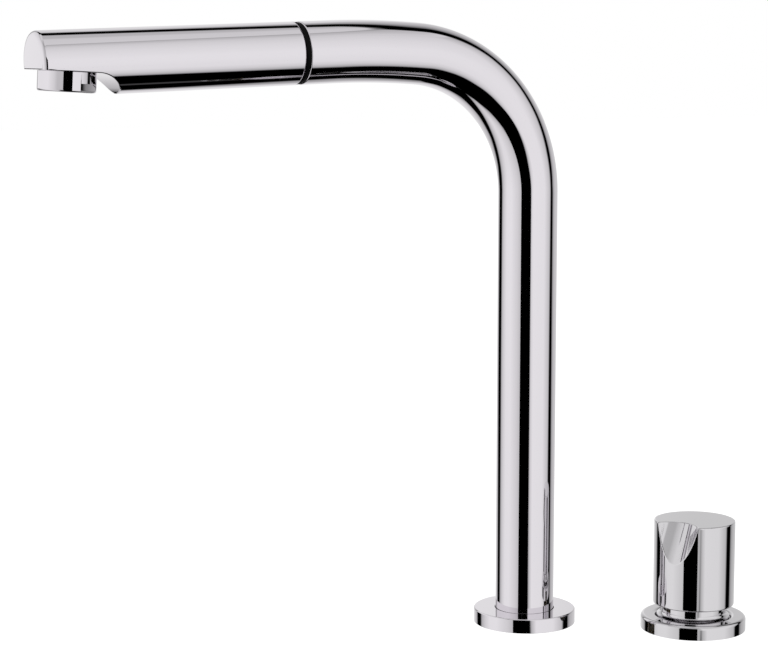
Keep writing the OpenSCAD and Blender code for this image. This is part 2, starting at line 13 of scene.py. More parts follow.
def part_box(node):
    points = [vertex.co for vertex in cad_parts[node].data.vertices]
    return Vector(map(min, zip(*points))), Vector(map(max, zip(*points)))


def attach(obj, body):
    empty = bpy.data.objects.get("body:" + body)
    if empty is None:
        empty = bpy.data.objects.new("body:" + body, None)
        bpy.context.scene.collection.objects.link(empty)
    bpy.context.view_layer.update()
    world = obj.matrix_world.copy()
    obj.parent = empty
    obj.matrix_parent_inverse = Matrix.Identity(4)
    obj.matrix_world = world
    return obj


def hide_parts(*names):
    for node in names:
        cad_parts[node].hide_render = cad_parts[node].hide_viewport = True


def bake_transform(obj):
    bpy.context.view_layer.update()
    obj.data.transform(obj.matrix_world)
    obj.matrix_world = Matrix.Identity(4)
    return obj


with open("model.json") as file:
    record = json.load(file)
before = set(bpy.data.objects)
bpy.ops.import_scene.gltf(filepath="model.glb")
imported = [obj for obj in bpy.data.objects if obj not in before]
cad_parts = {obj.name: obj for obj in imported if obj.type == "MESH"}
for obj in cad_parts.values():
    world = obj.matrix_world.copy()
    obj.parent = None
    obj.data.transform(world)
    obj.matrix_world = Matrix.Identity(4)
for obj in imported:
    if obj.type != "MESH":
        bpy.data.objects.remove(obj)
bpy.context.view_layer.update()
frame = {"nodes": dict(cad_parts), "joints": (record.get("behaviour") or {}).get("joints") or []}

MM = 0.001
ROUND = 128          # sides of a turned piece
FINE_ROUND = 192     # sides of the handset's casing and of the knob
FIT = 0.05           # gap round a piece that sits in another

# Spout
TUBE_R = 14.0
TUBE_WALL = 1.5
RISER_TOP = 207.5
BEND_R = 65.5
BOW_R = 395.0
BOW_ANGLE = 6.3
ARM_SLOPE = 2.1
ARM_STRAIGHT = 16.4
RING_HALF = 1.25     # half the width of the black joint ring
EDGE = 0.4           # small bevel on chromed edges
HOSE_R = 6.0
HOSE_BORE_R = 3.5
HOSE_STRETCH = 60.0  # how much of the hose's end stretches when the handset is pulled

# Handset, along its axis from the middle of the joint
HANDSET_R = 14.0
HANDSET_WALL = 1.6
HANDSET_LENGTH = 121.3
TIP_WALL = 2.5
TIP_EDGE = 2.2       # rounding of the handset's tip
FLOOR_WALL = 2.0
FLAT_DEPTH = 2.2
FLAT_ANGLE = 5.4
FLAT_LENGTH = 24.5
HOLLOW_R = 13.0
AERATOR_SETBACK = 14.8
AERATOR_R = 12.45
AERATOR_HEIGHT = 8.6
AERATOR_NECK_R = 10.0
AERATOR_BORE_R = 8.8
SPANNER_SIZE = 22.9
SPANNER_UP = 4.9
SPANNER_TURN = 58.4

# Mounting
SHANK_R = 16.6
SHANK_ROOT_R = 15.9
SHANK_LOW = -62.0
THREAD_PITCH = 1.5
SEAL_IN_R = 19.5
SEAL_OUT_R = 22.5
SEAL_H = 1.5
THREAD_TOP = -1.2    # where both shanks' threads end, just below the worktop's face
COLLAR_LOW = -0.6    # where the plain stretch above those threads starts
NUT_FLATS = 42.0

# Mixer knob
KNOB_R = 19.2
KNOB_LOW = 12.0
KNOB_TOP = 52.5
SCOOP_DEPTH = 10.0
SCOOP_H = 18.5
FINGER_R = 13.0

# The paths and places that the other pieces follow
joints = {joint["name"]: joint for joint in frame["joints"]}
bend_turn = 90 + ARM_SLOPE - BOW_ANGLE
bend_centre = Vector((-BEND_R, 0, RISER_TOP))


def on_arc(centre, radius, angle):
    """The point of an upright arc over the X axis, at an angle above +X."""
    angle = math.radians(angle)
    return centre + radius * Vector((math.cos(angle), 0, math.sin(angle)))


bow_centre = on_arc(bend_centre, -(BOW_R - BEND_R), bend_turn)
arm_start = on_arc(bow_centre, BOW_R, bend_turn + BOW_ANGLE)
arm_dir = Vector(joints["handset_pull"]["axis"]).normalized()
joint_centre = arm_start + ARM_STRAIGHT * arm_dir
knob_axis = Vector(joints["mix_turn"]["pos_m"]) / MM
tilt_axis = Vector(joints["flow_tilt"]["axis"])
scoop_turn = math.atan2(tilt_axis.x, -tilt_axis.y)
flat_start = HANDSET_LENGTH - FLAT_LENGTH
flat_start_depth = FLAT_DEPTH + FLAT_LENGTH * math.tan(math.radians(FLAT_ANGLE))
aerator_at = HANDSET_LENGTH - AERATOR_SETBACK
aerator_depth = FLAT_DEPTH + AERATOR_SETBACK * math.tan(math.radians(FLAT_ANGLE))


def moved(x, y, z):
    """A move by millimetres."""
    return Matrix.Translation(Vector((x, y, z)) * MM)


def turned_by(degrees, axis):
    """A turn about an axis through the origin."""
    return Matrix.Rotation(math.radians(degrees), 4, axis)


AT_JOINT = moved(*joint_centre) @ turned_by(-90 - ARM_SLOPE, "Y")
AT_FLAT = moved(-flat_start_depth, 0, flat_start) @ turned_by(FLAT_ANGLE, "Y")
AT_AERATOR = AT_JOINT @ moved(-aerator_depth, 0, aerator_at) @ turned_by(-90 + FLAT_ANGLE, "Y")
AT_KNOB_HOLE = moved(*knob_axis)
AT_KNOB = AT_KNOB_HOLE @ Matrix.Rotation(scoop_turn, 4, "Z")


# Materials

def shader_of(name, colour, metallic, roughness):
    """A new material and its main shader."""
    material = bpy.data.materials.new(name)
    material.use_nodes = True
    shader = material.node_tree.nodes["Principled BSDF"]
    shader.inputs["Base Color"].default_value = (*colour, 1)
    shader.inputs["Metallic"].default_value = metallic
    shader.inputs["Roughness"].default_value = roughness
    return material, shader


def wired(tree, kind, inputs, **settings):
    """A node with its settings, whose inputs are values or other nodes' outputs."""
    node = tree.nodes.new(kind)
    for key, value in settings.items():
        setattr(node, key, value)
    for key, value in inputs.items():
        if isinstance(value, bpy.types.NodeSocket):
            tree.links.new(value, node.inputs[key])
        else:
            node.inputs[key].default_value = value
    return node


def reckon(tree, operation, *values):
    """The result of one step of arithmetic on values or other nodes' outputs."""
    inputs = dict(enumerate(values))
    return wired(tree, "ShaderNodeMath", inputs, operation=operation).outputs[0]


def noise(tree, patches, detail=3.0, stretch=(1, 1, 1)):
    """Soft noise in the object's own space, with so many patches per metre."""
    place = wired(tree, "ShaderNodeTexCoord", {}).outputs["Object"]
    place = wired(tree, "ShaderNodeMapping", {"Vector": place, "Scale": stretch}).outputs["Vector"]
    inputs = {"Vector": place, "Scale": patches, "Detail": detail}
    return wired(tree, "ShaderNodeTexNoise", inputs).outputs["Fac"]


def spread(tree, value, low, high):
    """Noise, which lies mostly between 0.3 and 0.7, spread between two numbers."""
    inputs = {"Value": value, "From Min": 0.3, "From Max": 0.7, "To Min": low, "To Max": high}
    return wired(tree, "ShaderNodeMapRange", inputs).outputs["Result"]


def worn(tree, shader, patches, low, high):
    """Lets the roughness wander between two values."""
    tree.links.new(spread(tree, noise(tree, patches), low, high), shader.inputs["Roughness"])


def bumped(tree, shader, height, depth):
    """Raises the surface by a pattern of heights, up to a depth in millimetres."""
    inputs = {"Height": height, "Distance": depth * MM, "Strength": 1.0}
    bump = wired(tree, "ShaderNodeBump", inputs)
    tree.links.new(bump.outputs["Normal"], shader.inputs["Normal"])


def tinted(tree, shader, value, first, second):
    """Lets the colour wander between two shades."""
    mix = wired(tree, "ShaderNodeMix", {"Factor": value}, data_type="RGBA")
    mix.inputs["A"].default_value = (*first, 1)
    mix.inputs["B"].default_value = (*second, 1)
    tree.links.new(mix.outputs["Result"], shader.inputs["Base Color"])


def polished_chrome(name, colour):
    material, shader = shader_of(name, colour, metallic=1.0, roughness=0.03)
    tree = material.node_tree
    worn(tree, shader, patches=300, low=0.015, high=0.045)
    bumped(tree, shader, noise(tree, patches=45, detail=1.0), depth=0.006)
    return material


def machined_brass():
    """Brass with the fine turning marks of a lathe."""
    light, dark = (0.80, 0.62, 0.32), (0.70, 0.52, 0.25)
    material, shader = shader_of("machined_brass", (0.78, 0.6, 0.3), metallic=1.0, roughness=0.28)
    tree = material.node_tree
    tinted(tree, shader, spread(tree, noise(tree, patches=120), 0, 1), light, dark)
    worn(tree, shader, patches=500, low=0.2, high=0.36)
    bumped(tree, shader, noise(tree, patches=300, detail=2.0, stretch=(1, 1, 12)), depth=0.02)
    return material


def turned_steel():
    material, shader = shader_of("turned_steel", (0.62, 0.63, 0.65), metallic=1.0, roughness=0.3)
    tree = material.node_tree
    worn(tree, shader, patches=700, low=0.22, high=0.4)
    bumped(tree, shader, noise(tree, patches=400, detail=2.0, stretch=(1, 1, 10)), depth=0.015)
    return material


def moulded(name, colour, roughness, depth=0.02, shine=0.5):
    """A moulded plastic or rubber with a fine grain."""
    grain, clouds, less, more = 1500, 150, 0.85, 1.15
    material, shader = shader_of(name, colour, metallic=0.0, roughness=roughness)
    shader.inputs["Specular IOR Level"].default_value = shine
    tree = material.node_tree
    darker = tuple(less * part for part in colour)
    tinted(tree, shader, spread(tree, noise(tree, clouds), 0, 1), colour, darker)
    worn(tree, shader, grain, less * roughness, min(1.0, more * roughness))
    bumped(tree, shader, noise(tree, grain), depth)
    return material


def braided(name, place):
    """Grey nylon braid round a hose whose axis is the Z of a place, painted darker between its
    strands as shade in the weave's grooves.
    """
    strands, turns_per_metre = 12, 90.0
    shaded_between_strands, on_strands = (0.3, 0.31, 0.33), (0.62, 0.63, 0.65)
    material, shader = shader_of(name, (0.5, 0.51, 0.53), metallic=0.0, roughness=0.5)
    tree = material.node_tree
    back = place.inverted()
    here = wired(tree, "ShaderNodeTexCoord", {}).outputs["Object"]
    inputs = {"Vector": here, "Location": back.to_translation(), "Rotation": back.to_euler()}
    here = wired(tree, "ShaderNodeMapping", inputs).outputs["Vector"]
    parts = wired(tree, "ShaderNodeSeparateXYZ", {"Vector": here}).outputs
    around = reckon(tree, "ARCTAN2", parts["Y"], parts["X"])
    around = reckon(tree, "MULTIPLY", around, strands / 2)
    along = reckon(tree, "MULTIPLY", parts["Z"], turns_per_metre * math.tau / 2)
    lays = []
    for way in ("ADD", "SUBTRACT"):
        wave = reckon(tree, "SINE", reckon(tree, way, around, along))
        lays.append(reckon(tree, "ABSOLUTE", wave))
    weave = reckon(tree, "MULTIPLY", *lays)
    # The colour darkens between the strands: painted shade in the grooves of the weave.
    tinted(tree, shader, weave, shaded_between_strands, on_strands)
    bumped(tree, shader, weave, depth=0.25)
    return material


def ceramic_white():
    light, dark = (0.92, 0.92, 0.89), (0.86, 0.86, 0.82)
    material, shader = shader_of("lapped_ceramic", (0.9, 0.9, 0.87), metallic=0.0, roughness=0.16)
    tree = material.node_tree
    tinted(tree, shader, spread(tree, noise(tree, patches=200), 0, 1), light, dark)
    worn(tree, shader, patches=900, low=0.1, high=0.22)
    return material


CHROME = polished_chrome("polished_chrome", (0.765, 0.738, 0.775))
# A darker copy of the same chrome, as painted shade: it stands in for the dimmer light on the knob,
# its neck cover and its control base ring.
SHADED_KNOB_CHROME = polished_chrome("knob_chrome_with_painted_shade", (0.685, 0.672, 0.692))
BRASS = machined_brass()
STEEL = turned_steel()
RUBBER = moulded("black_rubber", (0.03, 0.03, 0.03), roughness=0.6)
BLACK = moulded("black_acetal", (0.012, 0.012, 0.012), roughness=0.35, depth=0.005)
RING_BLACK = moulded("joint_ring_black", (0.004, 0.004, 0.004), roughness=0.5, depth=0.005,
                     shine=0.03)
GREY = moulded("grey_nylon", (0.16, 0.16, 0.17), roughness=0.45)
WHITE = moulded("white_acetal", (0.82, 0.82, 0.78), roughness=0.4)
AERATOR_GREY = moulded("aerator_acetal", (0.6, 0.61, 0.62), roughness=0.3)
BLUE = moulded("blue_acetal", (0.05, 0.16, 0.42), roughness=0.4)
CERAMIC = ceramic_white()
BRAID_DOWN = braided("braid_down", Matrix.Identity(4))
BRAID_ARM = braided("braid_arm", AT_JOINT)


def finished(material, *nodes):
    """Gives a material to the CAD nodes that stay."""
    for node in nodes:
        mesh = frame["nodes"][node].data
        mesh.materials.clear()
        mesh.materials.append(material)


finished(RUBBER, "spout_base_seal", "control_base_seal", "spout_clamp_gasket")
finished(RUBBER, "control_clamp_gasket", "cartridge_seal", "docking_oring", "aerator_seal")
finished(RUBBER, "wiper_ring")
finished(STEEL, "spout_clamp_washer", "control_clamp_washer", "stop_collar", "stop_collar_screw")
finished(STEEL, "pivot_pin", "control_lever", "knob_screw")
finished(BRASS, "cartridge_nut", "hose_nut")
finished(BLACK, "hose_guide", "knob_insert")
finished(GREY, "handset_waterway")
finished(WHITE, "swivel_liner", "cartridge_body", "mixer_rotor")
finished(AERATOR_GREY, "aerator_insert")
finished(BLUE, "check_valve")
finished(CERAMIC, "fixed_disc", "moving_disc")


# Ways of working

def only(piece):
    """Selects one piece alone."""
    if bpy.context.object and bpy.context.object.mode == "EDIT":
        bpy.ops.object.mode_set(mode="OBJECT")
    bpy.ops.object.select_all(action="DESELECT")
    piece.select_set(True)
    bpy.context.view_layer.objects.active = piece


def editing(piece):
    """Opens a piece for editing with all of it selected."""
    only(piece)
    bpy.ops.object.mode_set(mode="EDIT")
    bpy.ops.mesh.select_mode(type="EDGE")
    bpy.ops.mesh.select_all(action="SELECT")


def pick_edges(piece, test):
    """Selects the edges of a piece under edit whose ends both pass a test."""
    bpy.ops.mesh.select_all(action="DESELECT")
    mesh = bmesh.from_edit_mesh(piece.data)
    for edge in mesh.edges:
        edge.select_set(all(test(end.co / MM) for end in edge.verts))
    bmesh.update_edit_mesh(piece.data)


def ring_of_edges(radius, height, sides=ROUND):
    """Adds a circle of edges round the Z axis."""
    bpy.ops.mesh.primitive_circle_add(vertices=sides, radius=radius * MM,
                                      location=(0, 0, height * MM))


def started(name, radius, height, sides=ROUND):
    """A new piece under edit, which starts as a circle of edges round the Z axis."""
    bpy.ops.object.select_all(action="DESELECT")
    ring_of_edges(radius, height, sides)
    piece = bpy.context.object
    piece.name = piece.data.name = name
    bpy.ops.object.transform_apply(location=True)
    editing(piece)
    return piece


def turn_on(start, outline):
    """Extrudes the selected circle through the radius and height pairs of an outline."""
    radius, height = start
    for next_radius, next_height in outline:
        rise = (0, 0, (next_height - height) * MM)
        bpy.ops.mesh.extrude_edges_move(TRANSFORM_OT_translate={"value": rise})
        grow = next_radius / radius
        bpy.ops.transform.resize(value=(grow, grow, 1),
                                 center_override=(0, 0, next_height * MM))
        radius, height = next_radius, next_height


def bridge_open_ends():
    """Joins the first and the last ring of a piece under edit."""
    bpy.ops.mesh.select_all(action="DESELECT")
    bpy.ops.mesh.select_non_manifold()
    bpy.ops.mesh.bridge_edge_loops()


def facing_out():
    """Merges doubles, turns all faces outwards and closes the edit."""
    merge_within = 0.002 * MM
    bpy.ops.mesh.select_all(action="SELECT")
    bpy.ops.mesh.remove_doubles(threshold=merge_within)
    bpy.ops.mesh.normals_make_consistent(inside=False)
    bpy.ops.object.mode_set(mode="OBJECT")


def turned(name, outline, solid=False, sides=ROUND):
    """A ring turned from its closed outline, or a solid rod whose outline has two open ends."""
    piece = started(name, *outline[0], sides)
    turn_on(outline[0], outline[1:])
    if solid:
        bpy.ops.mesh.select_all(action="SELECT")
        bpy.ops.mesh.fill_holes(sides=0)
    else:
        bridge_open_ends()
    facing_out()
    return piece


def applied(piece, kind, **settings):
    """Adds a modifier to a piece and applies it."""
    only(piece)
    modifier = piece.modifiers.new(kind.lower(), kind)
    for key, value in settings.items():
        setattr(modifier, key, value)
    bpy.ops.object.modifier_apply(modifier=modifier.name)


def cut(piece, *tools, way="DIFFERENCE"):
    """Cuts tools out of a piece, or joins them to it."""
    for tool in tools:
        applied(piece, "BOOLEAN", object=tool, operation=way, solver="EXACT")
        bpy.data.objects.remove(tool)


def rod(radius, low, high, place=None, sides=96):
    """A plain rod for cutting with."""
    bpy.ops.object.select_all(action="DESELECT")
    middle = (0, 0, (low + high) / 2 * MM)
    bpy.ops.mesh.primitive_cylinder_add(vertices=sides, radius=radius * MM, depth=(high - low) * MM,
                                        location=middle)
    tool = bpy.context.object
    bpy.ops.object.transform_apply(location=True)
    if place:
        tool.data.transform(place)
    return tool


def block(low, high, place):
    """A plain block for cutting with, between two corners of a place."""
    bpy.ops.object.select_all(action="DESELECT")
    low, high = Vector(low) * MM, Vector(high) * MM
    bpy.ops.mesh.primitive_cube_add(size=1, location=(low + high) / 2)
    tool = bpy.context.object
    tool.scale = high - low
    bpy.ops.object.transform_apply(location=True, scale=True)
    tool.data.transform(place)
    return tool


def smoothed(piece, edge=0.0, sharp=30, segments=3):
    """Rounds the sharp edges of a piece and shades it smooth."""
    if edge:
        applied(piece, "BEVEL", width=edge * MM, segments=segments, limit_method="ANGLE",
                angle_limit=math.radians(sharp), miter_outer="MITER_ARC",
                use_clamp_overlap=False)
    only(piece)
    bpy.ops.object.shade_smooth_by_angle(angle=math.radians(sharp))
    applied(piece, "WEIGHTED_NORMAL", keep_sharp=True, mode="FACE_AREA")


def evenly_round(piece, radius, place=None, hollow=False):
    """Gives the faces on a cylinder round the Z axis of a place that cylinder's own normals."""
    most_lean, most_off = 0.1, 0.03
    place = place or Matrix.Identity(4)
    back, turn = place.inverted(), place.to_3x3()
    level = Vector((1, 1, 0))
    mesh = piece.data
    normals = [corner.vector.copy() for corner in mesh.corner_normals]
    for face in mesh.polygons:
        outward = [(back @ mesh.vertices[corner].co) * level for corner in face.vertices]
        upright = abs((turn.transposed() @ face.normal).z) < most_lean
        if upright and all(abs(way.length / MM - radius) < most_off for way in outward):
            for corner, way in zip(face.loop_indices, outward):
                normals[corner] = turn @ way.normalized() * (-1 if hollow else 1)
    mesh.normals_split_custom_set(normals)


def done(piece, body, slot, material, *nodes, place=None):
    """Moves a finished piece to its place, with its material, where it replaces its CAD nodes."""
    if place:
        piece.matrix_world = place
        only(piece)
        bpy.ops.object.transform_apply(location=True, rotation=True, scale=True)
    piece.data.materials.clear()
    piece.data.materials.append(material)
    piece.visible_glossy = material is not BRASS
    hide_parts(*nodes)
    if body:
        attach(piece, body)


def arc(centre, radius, start, end):
    """The points of a round stretch of an outline, from a start to an end angle in degrees."""
    steps = 8
    points = []
    for step in range(steps + 1):
        angle = math.radians(start + (end - start) * step / steps)
        points.append((centre[0] + radius * math.cos(angle), centre[1] + radius * math.sin(angle)))
    return points


def pick_open_ends(piece, low, high):
    """Selects the open ends of a piece under edit that lie between two heights."""
    slack = 0.005
    bpy.ops.mesh.select_all(action="DESELECT")
    mesh = bmesh.from_edit_mesh(piece.data)
    for edge in mesh.edges:
        level = all(low - slack <= end.co.z / MM <= high + slack for end in edge.verts)
        edge.select_set(level and edge.is_boundary)
    bmesh.update_edit_mesh(piece.data)


def threaded(name, low, high, outline, solid=False,
             crest=SHANK_R, root=SHANK_ROOT_R, pitch=THREAD_PITCH):
    """A screw thread between two heights. The outline goes on from just above its top end."""
    sides, merge_within, trim_within = 64, 0.01 * MM, 0.0002 * MM
    piece = started(name, root, low - pitch, 3)
    bpy.ops.mesh.select_mode(type="VERT")
    bpy.ops.mesh.merge(type="CENTER")
    bpy.ops.transform.translate(value=(root * MM, 0, 0))
    # One turn's profile, drawn on from a single point at the root
    depth, flank, land = crest - root, pitch * 5 / 16, pitch / 8
    for out, up in ((0, 2 * land), (depth, flank), (0, land), (-depth, flank)):
        step = (out * MM, 0, up * MM)
        bpy.ops.mesh.extrude_vertices_move(TRANSFORM_OT_translate={"value": step})
    bpy.ops.object.mode_set(mode="OBJECT")
    count = math.ceil((high - low) / pitch) + 2
    merge = {"use_merge_vertices": True, "merge_threshold": merge_within}
    applied(piece, "ARRAY", count=count, use_relative_offset=False, use_constant_offset=True,
            constant_offset_displace=(0, 0, pitch * MM), **merge)
    applied(piece, "SCREW", angle=math.tau, screw_offset=pitch * MM,
            steps=sides, render_steps=sides, **merge)
    editing(piece)
    bpy.ops.mesh.remove_doubles(threshold=merge_within)
    for height, above in ((low, False), (high, True)):
        bpy.ops.mesh.select_all(action="SELECT")
        bpy.ops.mesh.bisect(plane_co=(0, 0, height * MM), plane_no=(0, 0, 1), clear_outer=above,
                            clear_inner=not above, threshold=trim_within)
    bpy.ops.mesh.select_all(action="DESELECT")
    ring_of_edges(*outline[0], sides)
    turn_on(outline[0], outline[1:])
    pick_open_ends(piece, high, outline[0][1])
    bpy.ops.mesh.bridge_edge_loops()
    if solid:
        bpy.ops.mesh.select_all(action="SELECT")
        bpy.ops.mesh.fill_holes(sides=0)
    else:
        pick_open_ends(piece, low, low)
        bpy.ops.mesh.fill()
    facing_out()
    return piece


def hex_nut(name, flats, low, high, bore):
    """A six-sided nut with its corners chamfered at both faces."""
    half_side, chamfer_angle = math.radians(30), math.radians(30)
    corner_r = flats / 2 / math.cos(half_side)
    chamfer = (corner_r - flats / 2) * math.tan(chamfer_angle)
    nut = rod(corner_r, low, high, turned_by(90, "Z"), sides=6)
    nut.name = nut.data.name = name
    outline = [(flats / 2, low), (corner_r, low + chamfer)]
    outline += [(corner_r, high - chamfer), (flats / 2, high)]
    cut(nut, turned("chamfer", outline, solid=True), way="INTERSECT")
    cut(nut, rod(bore, low - 1, high + 1))
    return nut


# Spout

def along_path(name, radius, foot, arm_length):
    """A pipe's skin up the riser, round both bends and along the arm."""
    piece = started(name, radius, foot)
    riser_steps, bend_steps, bow_steps = 12, 72, 16
    rise = (0, 0, (RISER_TOP - foot) / riser_steps * MM)
    for _ in range(riser_steps):
        bpy.ops.mesh.extrude_edges_move(TRANSFORM_OT_translate={"value": rise})
    bpy.ops.mesh.spin(steps=bend_steps, angle=math.radians(bend_turn),
                      center=bend_centre * MM, axis=(0, 1, 0))
    bpy.ops.mesh.spin(steps=bow_steps, angle=math.radians(BOW_ANGLE),
                      center=bow_centre * MM, axis=(0, 1, 0))
    if arm_length:
        arm = arm_dir * arm_length * MM
        bpy.ops.mesh.extrude_edges_move(TRANSFORM_OT_translate={"value": arm})
    facing_out()
    return piece


def spout_tube():
    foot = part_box("spout_tube")[0].z / MM
    tube = along_path("spout_tube_polished", TUBE_R, foot, ARM_STRAIGHT - RING_HALF)
    applied(tube, "SOLIDIFY", thickness=TUBE_WALL * MM, offset=-1)
    smoothed(tube, edge=EDGE, sharp=60)
    done(tube, "spout", "chrome", CHROME, "spout_tube")


def hose():
    """The braided hose, whose end in the arm follows the handset and has its own braid."""
    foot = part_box("hose")[0].z / MM
    pipe = along_path("braided_hose", HOSE_R, foot, 0)
    applied(pipe, "SOLIDIFY", thickness=(HOSE_R - HOSE_BORE_R) * MM, offset=-1)
    smoothed(pipe, sharp=60)
    done(pipe, None, "hose", BRAID_DOWN, "hose")
    pipe.data.materials.append(BRAID_ARM)
    stretch_start = (arm_start - HOSE_STRETCH * arm_dir) * MM
    for face in pipe.data.polygons:
        in_arm = face.center.x < stretch_start.x and face.center.z > RISER_TOP * MM
        face.material_index = int(in_arm)
    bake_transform(pipe)


def docking_collar():
    sleeve_r, bore, low = 12.44, 9.7, 2 - ARM_STRAIGHT
    rim_r, rim_edge, crown, crown_half = 13.75, 0.4, 0.08, 0.8
    outline = [(sleeve_r, low), (sleeve_r, -RING_HALF), (rim_r - rim_edge, -RING_HALF)]
    outline += [(rim_r - crown, -crown_half), (rim_r, 0), (rim_r - crown, crown_half)]
    outline += [(rim_r - rim_edge, RING_HALF), (bore, RING_HALF), (bore, low)]
    collar = turned("joint_ring", outline)
    smoothed(collar, sharp=40)
    done(collar, "spout", "black_plastic", RING_BLACK, "docking_collar", place=AT_JOINT)


def base_rings():
    """The rings on the worktop, each over its shank and with a groove for its seal."""
    shank_r = SHANK_R + FIT
    groove = [(SEAL_IN_R, 0), (SEAL_IN_R, SEAL_H), (SEAL_OUT_R, SEAL_H), (SEAL_OUT_R, 0)]

    edge_r, top, mouth_r, step = 24.4, 6.8, TUBE_R + 0.3, 3.51
    wiper_r, wiper_low, wiper_top = TUBE_R + 2.05, 4.51, 5.71
    outline = [(edge_r, 0), (edge_r, top - EDGE), (edge_r - EDGE, top), (mouth_r, top)]
    outline += [(mouth_r, wiper_top), (wiper_r, wiper_top), (wiper_r, wiper_low)]
    outline += [(mouth_r, wiper_low), (mouth_r, step), (shank_r, step), (shank_r, 0)]
    ring = turned("spout_ring_polished", outline + groove)
    smoothed(ring, edge=0.12, segments=2)
    done(ring, "deck", "chrome", CHROME, "spout_base_ring")

    edge_r, top, bore, step, rounding = 24.95, 6.6, 17.75, 3.0, 1.7
    outline = [(edge_r, 0)] + arc((edge_r - rounding, top - rounding), rounding, 0, 90)
    outline += arc((bore + rounding, top - rounding), rounding, 90, 180)
    outline += [(bore, step), (shank_r, step), (shank_r, 0)]
    ring = turned("control_ring_polished", outline + groove)
    smoothed(ring, sharp=40)
    done(ring, "deck", "chrome", SHADED_KNOB_CHROME, "control_base_ring", place=AT_KNOB_HOLE)


# Handset

def underside(raised):
    """The space below the casing's flat and its hollow turn, raised by a wall, for cutting with."""
    reach, half_width, depth, hollow_steps = 60.0, 30.0, 30.0, 96
    bpy.ops.object.select_all(action="DESELECT")
    bpy.ops.mesh.primitive_plane_add(size=1, rotation=(0, math.pi / 2, 0),
                                     location=Vector((raised, 0, reach / 2)) * MM)
    tool = bpy.context.object
    tool.scale = Vector((reach, 2 * half_width, 1)) * MM
    bpy.ops.object.transform_apply(location=True, rotation=True, scale=True)
    editing(tool)
    pick_edges(tool, lambda end: end.z < 1)
    bpy.ops.mesh.spin(steps=hollow_steps, angle=math.pi / 2,
                      center=Vector((-HOLLOW_R, 0, 0)) * MM, axis=(0, -1, 0))
    down = (-depth * MM, 0, 0)
    bpy.ops.mesh.extrude_edges_move(TRANSFORM_OT_translate={"value": down})
    onwards = (0, 0, (reach + HOLLOW_R + raised) * MM)
    bpy.ops.mesh.extrude_edges_move(TRANSFORM_OT_translate={"value": onwards})
    pick_edges(tool, lambda end: abs(end.z - reach) < 0.01)
    bpy.ops.mesh.bridge_edge_loops()
    bpy.ops.mesh.select_all(action="SELECT")
    bpy.ops.mesh.fill_holes(sides=0)
    facing_out()
    tool.data.transform(AT_FLAT)
    return tool


def handset_shell():
    start, tip = RING_HALF + FIT, HANDSET_LENGTH - TIP_EDGE
    outline = [(HANDSET_R - EDGE, start), (HANDSET_R, start + EDGE)]
    outline += arc((HANDSET_R - TIP_EDGE, tip), TIP_EDGE, 0, 90)
    shell = turned("handset_polished", outline, solid=True, sides=FINE_ROUND)
    cut(shell, underside(0))
    smoothed(shell, edge=0.5, sharp=25)
    inner_r, inner_end = HANDSET_R - HANDSET_WALL, HANDSET_LENGTH - TIP_WALL
    inner = turned("inside", [(inner_r, start - 1), (inner_r, inner_end)], solid=True)
    cut(inner, underside(FLOOR_WALL))
    mouth = AT_JOINT.inverted() @ AT_AERATOR
    cut(shell, inner, rod(AERATOR_NECK_R + FIT, -FLOOR_WALL - 1, 1, mouth))
    evenly_round(shell, HANDSET_R)
    hollow_middle = AT_FLAT @ moved(-HOLLOW_R, 0, 0) @ turned_by(90, "X")
    evenly_round(shell, HOLLOW_R, hollow_middle, hollow=True)
    done(shell, "handset", "chrome", CHROME, "handset_shell", place=AT_JOINT)


def aerator_housing():
    seat, lip, neck_low, above = 0.02, 1, -FLOOR_WALL, 20
    outline = [(AERATOR_R, seat)] + arc((AERATOR_R - lip, AERATOR_HEIGHT - lip), lip, 0, 90)
    outline += [(AERATOR_BORE_R + EDGE, AERATOR_HEIGHT), (AERATOR_BORE_R, AERATOR_HEIGHT - EDGE)]
    outline += [(AERATOR_BORE_R, neck_low), (AERATOR_NECK_R, neck_low), (AERATOR_NECK_R, seat)]
    ring = turned("aerator_ring_polished", outline)
    inner_corner = (SPANNER_SIZE / 2, -AERATOR_R, SPANNER_UP)
    outer_corner = (AERATOR_R + 2, AERATOR_R, above)
    for side in (0, 180):
        cut(ring, block(inner_corner, outer_corner, turned_by(SPANNER_TURN + side, "Z")))
    smoothed(ring, edge=0.15, segments=2)
    done(ring, "handset", "chrome", CHROME, "aerator_housing", place=AT_AERATOR)


# Mixer knob

def knob():
    wall, scoop_floor, roof, finger_reach = 2.1, 3, 4.5, 30
    cavity_r, cavity_top = KNOB_R - wall, KNOB_TOP - SCOOP_H - scoop_floor
    insert_r, insert_top = 7.0, KNOB_TOP - roof
    screw_r, screw_height = 2.05, KNOB_TOP - SCOOP_H + 2
    outline = [(KNOB_R - EDGE, KNOB_TOP), (KNOB_R, KNOB_TOP - EDGE), (KNOB_R, KNOB_LOW + EDGE)]
    outline += [(KNOB_R - EDGE, KNOB_LOW), (cavity_r, KNOB_LOW), (cavity_r, cavity_top)]
    outline += [(insert_r, cavity_top), (insert_r, insert_top)]
    body = turned("knob_polished", outline, solid=True, sides=FINE_ROUND)
    lean = math.atan(SCOOP_DEPTH / SCOOP_H)
    finger = moved(KNOB_R - SCOOP_DEPTH + FINGER_R / math.cos(lean), 0, KNOB_TOP)
    finger = finger @ Matrix.Rotation(-lean, 4, "Y")
    cut(body, rod(FINGER_R, -finger_reach, finger_reach, finger, sides=256))
    smoothed(body, edge=0.35, sharp=25)
    screw = moved(0, 0, screw_height) @ turned_by(-90, "Y")
    cut(body, rod(screw_r, insert_r - 1, KNOB_R + 2, screw, sides=48))
    evenly_round(body, KNOB_R)
    evenly_round(body, FINGER_R, finger, hollow=True)
    done(body, "knob", "chrome", SHADED_KNOB_CHROME, "knob", place=AT_KNOB)


